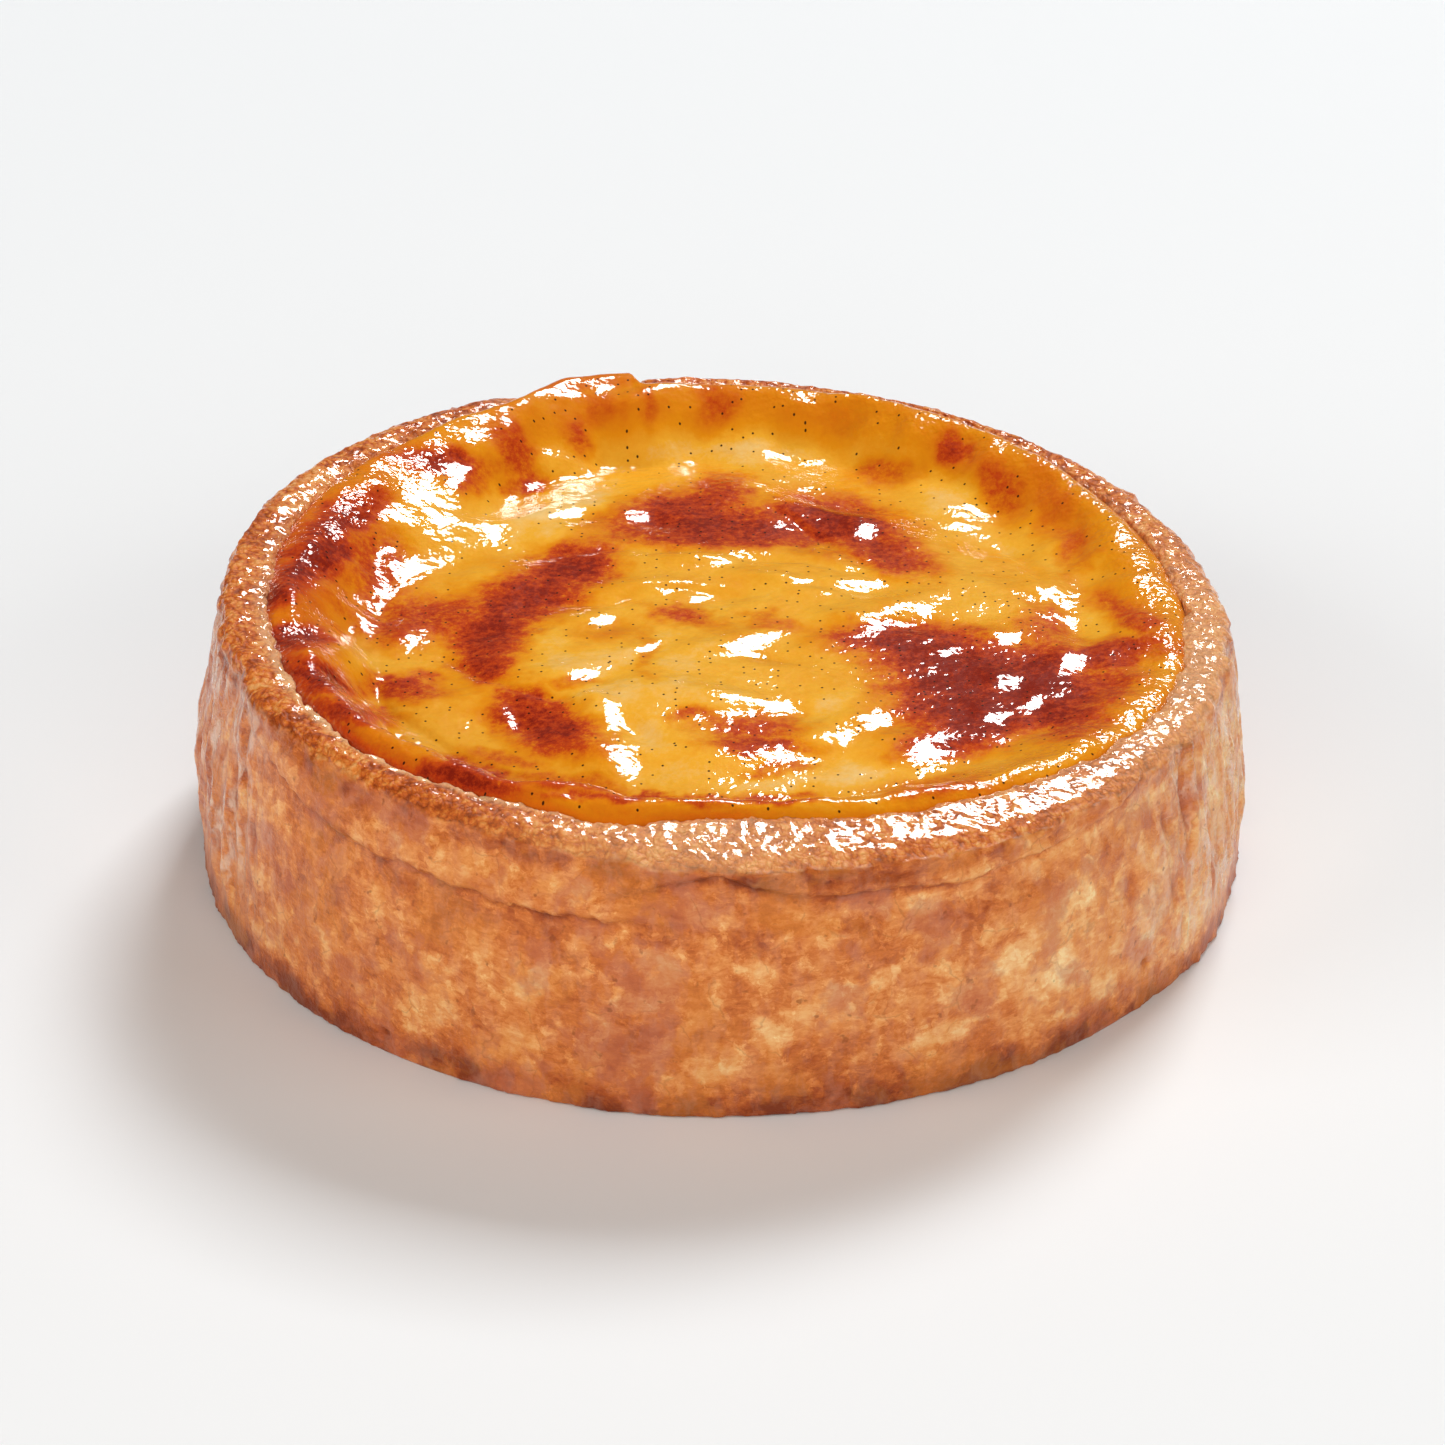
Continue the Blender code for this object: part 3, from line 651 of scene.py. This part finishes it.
# Marks on the skin are placed on a plan seen along the photo's line of sight, 29.5 degrees above the table, at a
# height of 28 mm: a point above that height lies further back on the plan.
skinMarks = {
    "planHeight": 28.0,
    "planShift": 1.0 / math.tan(math.radians(29.515)),
    # places that mirror the softbox: (x, y, half length, half width, turn)
    "glints": (
        (-38, 30.5, 4, 3.2, -35), (-32.5, 24.5, 2.2, 1.6, -30), (-41, 20, 3, 2.8, 110), (-40, 13.5, 2.8, 2.5, 110),
        (-46, 31.5, 2.4, 1.6, 70), (-39.5, 40, 2.4, 1, 60), (-37, 45, 2.4, 1.2, 110), (-31, 49, 3, 0.9, 40),
        (-22, 37, 2.8, 1, 20), (-17, 39.5, 3.6, 1.2, 50), (-14, 43, 2.8, 1.6, 0), (-28, 21.5, 4.2, 1.8, -20),
        (-21, 28.5, 5, 1.3, 18), (7, 39.5, 3.8, 1.6, -45), (11, 35.5, 3.4, 1.5, -35), (15, 33, 2.4, 0.8, -20),
        (28.5, 30, 3.2, 2.2, -60), (31, 25.5, 3.2, 1.8, -60), (38.2, 8, 1.6, 1.1, -20), (40.5, 2.5, 3, 1, -75),
        (33.5, -2.8, 1.5, 0.9, -25), (41, -7, 1.2, 1.6, 0), (23.5, -28.8, 2.6, 0.9, 25), (0.8, -31, 3.8, 3, -10),
        (7.5, -29, 3.2, 1.4, -5), (1, -17.5, 2.8, 1.4, -20), (6.5, -18.5, 2.8, 1.2, -15), (12.5, -25.5, 2.2, 1.3, 20),
        (17, -21.5, 2, 1.1, -10), (-7, 9, 2.6, 1.1, 0), (-2.5, 8, 2.6, 1, 15), (-16, -11, 2.4, 1.5, 10),
        (-13, -19, 2.4, 0.9, -55), (-10.5, -23, 2, 0.8, -45), (-12, -30.5, 2.8, 1.5, -35), (0, 17.5, 2.6, 1, 5),
        (15, 10, 2.6, 1.1, 0), (22.5, 5, 3, 1.2, 32), (18, 2.5, 2.8, 1.1, -5), (17.5, 24.5, 1.8, 1, 100),
        (-10.5, 29, 2, 1.2, -30), (9, 11.5, 2, 0.7, -15), (4.5, -2.5, 3, 1.1, 18), (2, -6, 2.4, 0.8, -12),
        (-9, -5, 1.6, 0.7, 35), (-14, 2, 1.4, 1.1, 0), (33, -13, 1.6, 1, -60), (26.5, -6, 1.2, 0.5, 0),
        (31, -21, 1.4, 0.8, -60), (36, -17.5, 0.9, 0.6, 90), (-31.5, 40, 1.4, 0.9, 110), (-24, -22, 1.8, 0.7, -60),
        (-37, -25, 1.6, 0.7, -40), (26, -37, 4.5, 0.9, 18),
    ),
    # places that must not: (x, y, half width)
    "calms": (
        (-30, 8, 3), (-22, 12, 3), (-28, -4, 3), (-20, -22, 3), (-8, 22, 3), (6, 26, 3), (12, 21, 3), (0, 2, 2.5),
        (-8, 0, 2.5), (12, 6, 2), (10, 0, 2), (22, -8, 3), (28, -3, 2.5), (28, -12, 3), (33, -17, 2), (38, -4, 2),
        (40, -16, 2.5), (24, -20, 3), (20, -14, 2.5), (11, -10, 2.5), (0, -12, 2), (-6, -24, 2.5), (8, -23, 2),
        (18, -34.5, 2.5), (30, -25, 2.5), (-25, -28, 3), (-33, -16, 3), (24, 14, 3), (22, 22, 2.5), (34, 14, 2.5),
        (-12, 34, 2.5), (-30, 15, 2.5), (-16, 22, 2.5), (22, 34, 3), (6, 32, 2.5), (-4, -36, 2), (12, -35, 2.5),
        (44, -3, 2), (34, 4, 2), (10, 15, 2), (-20, -6, 2.5), (46, -9, 2), (36, 26, 2.5), (-6, 14, 2), (-41, -1, 2.5),
        (-38, -8, 2.5), (29, -23, 2), (-2, 42, 2.5), (34, 10, 2), (38, 16, 2.5), (-34, 38, 2), (44, -18, 2.5),
        (-35, 5, 2.5), (35, -23, 2), (43, -13, 2), (39, -11.5, 1.8), (36.5, -5, 1.4), (30, -16, 2), (26, -11, 2),
        (-46, -2, 2),
    ),
    "glintTilt": (-0.2176, 0.166),  # slope of the skin, along x and along y, that mirrors the softbox
    "glintSpread": 1.9,  # a ripple is this much broader than the glint on it
    "glintDrive": 1.12,
    # creases pressed into the skin
    "creases": (
        ((-45, 14), (-44, 0), (-41, -12), (-38, -20), (-30, -30), (-20, -37), (-10, -39.5)),
        ((-22, 19), (-13, 20.3), (0, 19), (10, 17), (18, 13), (23, 10)),
        ((-22, 6), (-12, 6.5), (-8, 10), (2, 9)),
        ((-34, -6), (-28, -12), (-20, -16), (-12, -14)),
        ((5, 33), (9, 26), (14, 19), (19, 14)),
        ((33, 22), (36, 18), (38, 12), (41, 1)),
    ),
    "creaseDepth": 0.32,
    "creaseWidth": 0.9,
}

# How brown the skin is, on the same plan: (x, y, half length, half width, turn, strength)
browning = {
    "base": 0.17,
    "depth": 0.8,
    "ring": 0.15,  # the swollen ring is browner, deepest at the left and front
    "ringShifts": ((-85, 35, 0.14), (5, 25, -0.06), (60, 40, -0.08)),
    "edge": 0.12,  # and so is the skin along the crust
    "patches": (
        (0, 25.5, 13, 4.6, -3, 1), (-5, 31, 7, 4, 10, 0.85), (0, 36, 4, 3.4, 90, 0.75), (14, 27, 8, 5.5, -35, 1),
        (20, 19, 7, 3.6, -50, 0.8), (-18, 15.5, 6, 4.5, 55, 1), (-23, 8, 7, 5, 50, 1), (-27, -1, 7, 4, 75, 0.95),
        (-27.5, -9, 4, 3.5, 90, 0.85), (-34, 3, 5, 6, 90, 0.65), (22, -3, 9, 4, -8, 0.95), (28, -9, 10, 6, -15, 1),
        (25.5, -13, 6, 5, 0, 1), (27, -19, 7, 6, 0, 0.95), (38, -19, 5, 6, 0, 0.85), (36, -12, 6, 8, -20, 1),
        (31, -20, 10, 6, 40, 1), (25, -27, 6, 3, 30, 0.8), (43, -6.5, 7, 3, 25, 0.8), (44, -13, 4, 5, -20, 0.6),
        (38, 1, 5, 3, 90, 0.5), (17, -2, 4, 3, 0, 0.7), (-20, -23, 7, 4.5, -50, 1), (-23, -17, 3.5, 2.5, -45, 0.75),
        (-37, -14, 4, 3.2, 0, 0.8), (-28, -35, 5.5, 2.8, -30, 0.95), (-45.5, 27, 8, 3, 65, 0.75),
        (-48, 17, 6, 3, 70, 1), (-52.4, 8.1, 3.4, 2.2, 60, 0.85), (-49.2, -2.5, 3.6, 2.8, 20, 0.95),
        (-52.3, -8.6, 3.2, 2.2, 70, 0.8), (-46, -12.3, 4.4, 2.2, -50, 0.85), (-49.5, -17, 5, 2, 80, 0.6),
        (-42, -20, 5, 2, -20, 0.65), (-41, 14, 10, 3.4, 95, 0.6), (-38, 1, 5, 5, 0, 0.55), (-44, 4, 8, 1.5, -65, 0.3),
        (-34, 42.5, 5.5, 3, -15, 0.75), (-31.5, 38, 4, 2.5, 90, 0.5), (-25.5, 44, 9, 2, 100, 0.5),
        (-23.5, 37, 3, 2.5, 60, 0.65), (-18, 50, 4.5, 1.8, 95, 0.5), (-9, 58, 5, 1.5, 90, 0.3),
        (-1, 58, 5, 2.5, 90, 0.35), (-15, 57, 4, 2, 90, 0.25), (28.5, 46, 4, 2.2, 90, 0.65), (20, 41, 4, 3, 0, 0.4),
        (34, 36, 8, 2.5, 100, 0.4), (40, 32, 10, 2.5, 95, 0.25), (42, 20, 6, 2, 90, 0.35),
        (47.5, 4, 6, 2.5, -60, 0.5), (50, -4, 4, 2.5, -20, 0.4), (3, -23.5, 6, 3, -5, 0.6),
        (4, -27.5, 6, 1.8, -5, 0.8), (-3.5, -20.5, 3, 2, 0, 0.5), (6, -33, 4, 1.5, 20, 0.5),
        (-5, 3.5, 4, 2, -25, 0.6), (6, 1.5, 3.5, 1.5, -30, 0.35), (-9, -6, 5, 1.5, 90, 0.3),
        (-14, -1, 4, 2.5, 0, 0.2), (-8, -39, 11, 0.9, -3, 0.6), (5, -39.8, 5, 0.8, 6, 0.6),
        (-8, -43.5, 12, 3, -5, 0.15), (24, -37, 6, 2, 10, 0.4), (-25, -30.5, 4, 1.5, -20, 0.45),
        (-17, -36, 6, 1.5, -12, 0.4), (-17, -13, 3, 1.2, 0, 0.35), (-40, -29, 7, 3, -45, 0.3),
        (-46, -22, 5, 3, -50, 0.45),
    ),
    "pale": (
        (0, 47, 13, 4, 0, 0.12), (-20, 31, 9, 4.5, 45, 0.16), (-15, -14, 17, 4, -65, 0.1), (13, -17, 3, 6, 0, 0.08),
        (28, 10, 6, 6, 0, 0.06), (5, 10, 8, 4, 0, 0.05), (-5, -14, 15, 6, -80, 0.08), (27, 31, 4, 8, 0, 0.06),
        (10, -35, 14, 3, 8, 0.1),
    ),
}


def planOf(y, z):
    return y + (z - skinMarks["planHeight"]) * skinMarks["planShift"]


def baseHeight(x, y):
    # the custard's broad shape
    turn = np.degrees(np.arctan2(x, -y))
    flat = flatPoints(x, y)
    inset = insetOf(x, y)
    reach = flapOver(turn)
    inset = np.maximum(inset + reach * smoothStep((5.0 - inset) / 5.0), 0.0)
    inset = inset + custard["wander"] * smoothStep(inset / 5.0) * layered(flat, 9.0, 161, 2, 0.6)
    crest = rimPlane(x) + shifted(custard["crestRise"], custard["crestRiseShifts"], turn)
    crest = crest + custard["crestWave"] * layered(flat, 7.0, 163, 2, 0.6)
    crest = crest + custard["crestLumps"] * noise(flat, 3.2, 167)
    crestInset = shifted(custard["crestInset"], custard["crestInsetShifts"], turn)
    lift = flapLift(turn)
    dip = shifted(custard["edgeDip"], custard["edgeDipShifts"], turn)
    edge = rimPlane(x) - dip + lift * (dip - flan["flapSeat"] + flan["gap"] + flan["flapThickness"])
    outer = edge + (crest - edge) * (1.0 - (1.0 - np.clip(inset / crestInset, 0.0, 1.0)) ** 2)
    fall = smoothStep((inset - crestInset) / shifted(custard["crestFall"], custard["crestFallShifts"], turn))
    reach = np.hypot((x - custard["plateauCentre"][0]) / custard["plateauReach"][0],
                     (y - custard["plateauCentre"][1]) / custard["plateauReach"][1])
    reach = reach / shifted(1.0, custard["plateauShifts"], turn) + 0.06 * noise(flat, 8.0, 171)
    middle = custard["moatHeight"] + custard["plateauRise"] * smoothStep((1.12 - reach) / custard["plateauFall"])
    for swell in custard["swells"]:
        middle = middle + swell[5] * bell(ellipse(x, y, swell))
    return np.where(inset < crestInset, outer, crest + (middle - crest) * fall)


def broadSkin(x, y):
    # the broad shape with its unevenness and creases, before the ripples
    z = baseHeight(x, y)
    flat = flatPoints(x, y)
    inset = insetOf(x, y)
    planY = planOf(y, z)
    z = z + smoothStep(inset / 3.0) * custard["wave"] * layered(flat, (11, 6, 9), 111, 2, 0.5)
    for path in skinMarks["creases"]:
        distance, share = pathDistance(x + 0.5 * noise(flat, 2.5, 121), planY + 0.5 * noise(flat, 2.5, 122), path)
        ends = smoothStep(share / 0.15) * smoothStep((1.0 - share) / 0.15)
        z = z - skinMarks["creaseDepth"] * ends * bell(distance / skinMarks["creaseWidth"])
    return z


def fromPlan(x, planY):
    # where on the skin a point of the plan lies
    y = planY.copy()
    for _ in range(12):
        y = y + 0.5 * (planY - planOf(y, broadSkin(x, y)))
    return y


def rippleTerms(x, y, ripple):
    # a ripple is a soft bump tipped along x and along y; also returns how each tip changes the slope
    dx, dy = x - ripple[0], y - ripple[1]
    along, across = turnedBy(dx, dy, ripple[4])
    weight = np.exp(-(along / ripple[2]) ** 2 - (across / ripple[3]) ** 2)
    c, s = math.cos(math.radians(ripple[4])), math.sin(math.radians(ripple[4]))
    weightX = weight * -2.0 * (along / ripple[2] ** 2 * c - across / ripple[3] ** 2 * s)
    weightY = weight * -2.0 * (along / ripple[2] ** 2 * s + across / ripple[3] ** 2 * c)
    return (dx * weight, dy * weight), ((weight + dx * weightX, dx * weightY), (dy * weightX, weight + dy * weightY))


def solveRipples():
    # tips every ripple so that its middle mirrors the softbox, or lies calm, whatever its neighbours add
    spread = skinMarks["glintSpread"]
    glints, calms = skinMarks["glints"], skinMarks["calms"]
    x = np.array([float(mark[0]) for mark in glints + calms])
    y = fromPlan(x, np.array([float(mark[1]) for mark in glints + calms]))
    shape = [(mark[2] * spread, mark[3] * spread, mark[4]) for mark in glints]
    shape += [(mark[2] * spread, mark[2] * spread, 0.0) for mark in calms]
    ripples = [(x[i], y[i]) + shape[i] for i in range(len(x))]
    slopeX = (broadSkin(x + 0.4, y) - broadSkin(x - 0.4, y)) / 0.8
    slopeY = (broadSkin(x, y + 0.4) - broadSkin(x, y - 0.4)) / 0.8
    drive = skinMarks["glintDrive"]
    lit = np.arange(len(x)) < len(glints)
    wantX = np.where(lit, drive * skinMarks["glintTilt"][0], np.clip(slopeX, 0.0, 0.2))
    wantY = np.where(lit, drive * skinMarks["glintTilt"][1], np.clip(slopeY, -0.2, 0.02))
    table = np.zeros((2 * len(x), 2 * len(x)))
    for column, ripple in enumerate(ripples):
        _, slopes = rippleTerms(x, y, ripple)
        for axis in range(2):
            table[:len(x), 2 * column + axis] = slopes[axis][0]
            table[len(x):, 2 * column + axis] = slopes[axis][1]
    wanted = np.concatenate([wantX - slopeX, wantY - slopeY])
    steady = 0.012 * np.diag(np.repeat([ripple[2] * ripple[3] for ripple in ripples], 2))
    tips = np.linalg.solve(table.T @ table + steady, table.T @ wanted)
    return ripples, tips.reshape(-1, 2)


def skinHeight(x, y):
    z = broadSkin(x, y)
    flat = flatPoints(x, y)
    inset = insetOf(x, y)
    calm = smoothStep(inset / 2.5)
    ripples, tips = solveRipples()
    added = x * 0.0
    for ripple, tip in zip(ripples, tips):
        terms, _ = rippleTerms(x, y, ripple)
        added += tip[0] * terms[0] + tip[1] * terms[1]
    print("ripples:", len(ripples), "from", round(float(added.min()), 2), "to", round(float(added.max()), 2), "mm")
    z = z + calm * added
    calm = calm * (1.0 - 0.85 * bell(ellipse(x, y, custard["calmSlope"])))
    return z + calm * custard["wrinkle"] * layered(flat, (2.2, 1.5, 3.0), 131, 2, 0.6)


def discGrid(cells):
    # a square grid bent into a disc of even cells; returns x, y, the cells and the outline's points
    line = np.linspace(-1.0, 1.0, cells + 1)
    a, b = np.meshgrid(line, line, indexing="ij")
    wide = np.abs(a) > np.abs(b)
    safeA, safeB = np.where(a == 0.0, 1.0, a), np.where(b == 0.0, 1.0, b)
    reach = np.where(wide, a, b)
    angle = np.where(wide, math.pi / 4.0 * b / safeA, math.pi / 2.0 - math.pi / 4.0 * a / safeB)
    x, y = reach * np.cos(angle), reach * np.sin(angle)
    number = np.arange((cells + 1) ** 2).reshape(cells + 1, cells + 1)
    quads = np.stack([number[:-1, :-1], number[1:, :-1], number[1:, 1:], number[:-1, 1:]], axis=-1).reshape(-1, 4)
    outline = np.concatenate([number[:-1, 0], number[-1, :-1], number[:0:-1, -1], number[0, :0:-1]])
    return x.ravel(), y.ravel(), quads, outline


def brownness(x, y, z):
    flat = flatPoints(x, y)
    planY = planOf(y, z)
    warpX = x + 1.5 * layered(flat, 4.5, 141, 4, 0.6)
    warpY = planY + 1.5 * layered(flat, 4.5, 147, 4, 0.6)
    turn = np.degrees(np.arctan2(x, -y))
    inset = insetOf(x, y)
    level = np.full(len(x), browning["base"])
    level += smoothStep((11.0 - inset) / 6.0) * shifted(browning["ring"], browning["ringShifts"], turn)
    level += 0.05 * layered(flat, 6.0, 151, 2, 0.5)
    dark = np.zeros(len(x))
    for patch in browning["patches"]:
        cover = patch[5] * np.exp(-np.log(2.0) * ellipse(warpX, warpY, patch) ** 3)
        dark = np.maximum(dark, cover) + 0.15 * np.minimum(dark, cover)
    for patch in browning["pale"]:
        level -= patch[5] * bell(ellipse(warpX, warpY, patch))
    edge = browning["edge"] * smoothStep((1.4 - inset) / 0.9)
    return np.clip(np.maximum(level, 0.0) + browning["depth"] * dark * (1.0 - 0.5 * level) + edge, 0.0, 1.0), dark


def buildCustard(material):
    unitX, unitY, quads, outline = discGrid(custard["across"])
    share = np.hypot(unitX, unitY)
    turn = np.degrees(np.arctan2(unitX, -unitY))
    corner = innerCorner(turn)
    reach = flapOver(turn)
    radius = share * (corner - custard["edgeInset"]) + reach * smoothStep((share - 0.9) / 0.1)
    x, y = polar(radius, turn)
    z = skinHeight(x, y)
    brown, dark = brownness(x, y, z)

    # the side below the skin runs down inside the cup
    edgeTurn, edgeCorner, edgeReach = turn[outline], corner[outline], reach[outline]
    lift = flapLift(edgeTurn)
    lipBottom = custard["lipHeight"] + (flan["rimHeight"] - flan["flapSeat"] + 0.1 - custard["lipHeight"]) * lift
    floorTop = flan["floor"] + flan["gap"]
    rings = [(edgeCorner - custard["edgeInset"] + edgeReach, lipBottom), (edgeCorner - 0.95, lipBottom - 0.05),
             (edgeCorner - 0.95, 28.0), (52.2 + 0.8 * (edgeCorner - flan["innerRadius"]), 23.0), (50.4, 7.4),
             (46.0, floorTop)]
    loops = [outline]
    points = [np.stack([x, y, z], axis=1)]
    count = len(x)
    for ringRadius, ringZ in rings:
        points.append(leaned(ringRadius + lift * 0.0, edgeTurn, ringZ + lift * 0.0))
        loops.append(count + np.arange(len(outline)))
        count += len(outline)
    points.append(np.array([[0.0, 0.0, floorTop]]))
    sides = np.concatenate([np.stack([upper, lower, np.roll(lower, -1), np.roll(upper, -1)], axis=1)
                            for upper, lower in zip(loops[:-1], loops[1:])])
    under = np.stack([loops[-1], np.full(len(outline), count), np.roll(loops[-1], -1)], axis=1)
    hidden = count + 1 - len(x)
    # the glaze on the swollen ring dried in tiny beads, except along the front
    beads = smoothStep((9.0 - (corner - radius)) / 4.0) * shifted(0.75, custard["fewBeads"], turn)
    attributes = {
        "brown": np.append(brown, np.full(hidden, 0.4)),
        "dark": np.append(dark, np.zeros(hidden)),
        "beads": np.append(np.clip(beads, 0.0, 1.0), np.zeros(hidden)),
    }
    return meshPiece("glazed_custard", np.concatenate(points), np.concatenate([quads, sides]), under, attributes,
                     material, "custard_filling")


def glazedCustard():
    # Baked egg custard under a clear brushed glaze: soft, yellow and a little see-through, with a browned skin,
    # vanilla seeds, and sharp mirror highlights from the glaze.
    made, tree, shader = newMaterial("glazedCustard")
    place = addNode(tree, "TexCoord").outputs["Object"]
    brown, dark, beads = [attributeOf(tree, name) for name in ("brown", "dark", "beads")]
    # scorched skin is mottled in spots of about 0.7 mm, with faint streaks along the wrinkles and 6 mm clouds
    spots = noiseOf(tree, place, 0.85, 6.0, 0.75)
    stretch = addNode(tree, "Mapping", {"Vector": place, "Rotation": (0.0, 0.0, 0.5),
                                        "Scale": (0.25, 1.0, 1.0)}).outputs["Vector"]
    streaks = noiseOf(tree, stretch, 2.2, 6.0, 0.65)
    clouds = noiseOf(tree, place, 6.0, 3.0)
    mottle = scaledBy(tree, streaks, 0.5, scaledBy(tree, spots, 1.5, -1.0))
    mottle = scaledBy(tree, mottle, fitted(tree, dark, 0.15, 0.7, 0.1, 1.0))
    level = scaledBy(tree, mottle, 1.05, brown)
    level = scaledBy(tree, scaledBy(tree, clouds, 0.16, -0.08), 1.0, level)
    colour = addNode(tree, "ValToRGB", {"Fac": level}, stops=custard["colours"]).outputs["Color"]
    # vanilla seeds, 0.25 mm, one for every 3 mm or so of skin
    seedCell = addNode(tree, "TexVoronoi", {"Vector": place, "Scale": perMetre(1.3)}, voronoi_dimensions="2D")
    pick = addNode(tree, "SeparateColor", {"Color": seedCell.outputs["Color"]}).outputs[0]
    pick = addNode(tree, "Math", {0: pick, 1: 1.0 - custard["seedShare"]}, operation="GREATER_THAN").outputs[0]
    seed = scaledBy(tree, fitted(tree, seedCell.outputs["Distance"], 0.09, 0.13, 0.95, 0.0), pick)
    colour = mixed(tree, seed, colour, custard["seedColour"])
    # the glaze follows tiny wrinkles of the skin, 1.1 mm, and dried in beads of 0.8 mm on the ring
    bump = bumpOf(tree, noiseOf(tree, place, 1.1, 1.5), 0.6, 0.2)
    bump = bumpOf(tree, noiseOf(tree, place, 0.8, 1.0), beads, 0.28, bump)
    finishShader(tree, shader, {"Base Color": colour, "Normal": bump, "Coat Normal": bump}, {
        "Roughness": 0.4,
        "IOR": 1.38,
        "Specular IOR Level": 0.05,  # the glaze hides most of the skin's own gloss
        "Coat Weight": 1.0,
        "Coat Roughness": 0.03,
        "Coat IOR": 1.47,  # sugar glaze
        "Subsurface Weight": 0.15,
        "Subsurface Radius": (1.0, 0.6, 0.2),
        "Subsurface Scale": 1.5 * mm,
    })
    return made


buildCustard(glazedCustard())


# Studio

studio = {
    "floorColour": "#E9F0F7",
    # name, turn from straight behind towards the right, degrees above the table, distance and size in metres,
    # watts, colour, whether the glaze mirrors it
    "lights": (
        ("softbox", 21.0, 44.0, 2.5, (0.8, 0.8), 51.0, "#FFFDFA", True),
        ("frontPanel", 180.0, 33.0, 1.7, (1.9, 0.95), 14.7, "#FFEEDE", False),    # wide and warm, behind the camera
        ("leftBoard", -112.0, 25.0, 1.6, (0.9, 0.9), 10.0, "#FFF7EE", False),
        ("rightBoard", 112.0, 25.0, 1.6, (0.9, 0.9), 6.6, "#FFF7EE", False),
    ),
    "room": 0.08,  # dim room all round
    "roomColour": "#FFF4EA",
    "lookAtHeight": 15.309,  # millimetres above the table
    "cameraDistance": 0.660,
    "cameraHeight": 29.515,  # degrees above the table
    "lens": 138.49,
}


def addPanel(name, turn, height, distance, size, power, colour, mirrored):
    # a flat light that looks at the middle of the table
    light = bpy.data.lights.new(name, "AREA")
    light.shape = "RECTANGLE"
    light.size, light.size_y = size
    light.energy = power
    light.color = hexColour(colour)[:3]
    panel = bpy.data.objects.new(name, light)
    turn, height = math.radians(turn), math.radians(height)
    panel.location = [distance * v for v in (math.sin(turn) * math.cos(height), math.cos(turn) * math.cos(height),
                                             math.sin(height))]
    panel.rotation_euler = (math.pi / 2.0 - height, 0.0, math.pi - turn)
    panel.visible_glossy = mirrored
    bpy.context.scene.collection.objects.link(panel)


def buildStudio():
    bpy.ops.mesh.primitive_plane_add(size=6.0, location=(0.0, 0.0, 0.0))
    table = bpy.context.object
    table.name = "table"
    # matt white paper on the table: pale and even
    made, tree, shader = newMaterial("mattWhitePaper")
    finishShader(tree, shader, {}, {"Base Color": hexColour(studio["floorColour"]), "Roughness": 0.7, "IOR": 1.49,
                                    "Specular IOR Level": 0.1})
    table.data.materials.append(made)

    world = bpy.data.worlds.new("dimRoom")
    bpy.context.scene.world = world
    world.use_nodes = True
    background = world.node_tree.nodes["Background"]
    background.inputs["Color"].default_value = hexColour(studio["roomColour"])
    background.inputs["Strength"].default_value = studio["room"]

    for light in studio["lights"]:
        addPanel(*light)

    tilt = math.radians(studio["cameraHeight"])
    view = bpy.data.cameras.new("camera")
    view.lens = studio["lens"]
    view.sensor_width = 36.0
    view.clip_start = 0.05
    camera = bpy.data.objects.new("camera", view)
    camera.location = (0.0, -studio["cameraDistance"] * math.cos(tilt),
                       studio["lookAtHeight"] * mm + studio["cameraDistance"] * math.sin(tilt))
    camera.rotation_euler = (math.pi / 2.0 - tilt, 0.0, 0.0)
    bpy.context.scene.collection.objects.link(camera)
    bpy.context.scene.camera = camera
    bpy.context.scene.view_settings.view_transform = "Standard"


buildStudio()
print("studio ready")
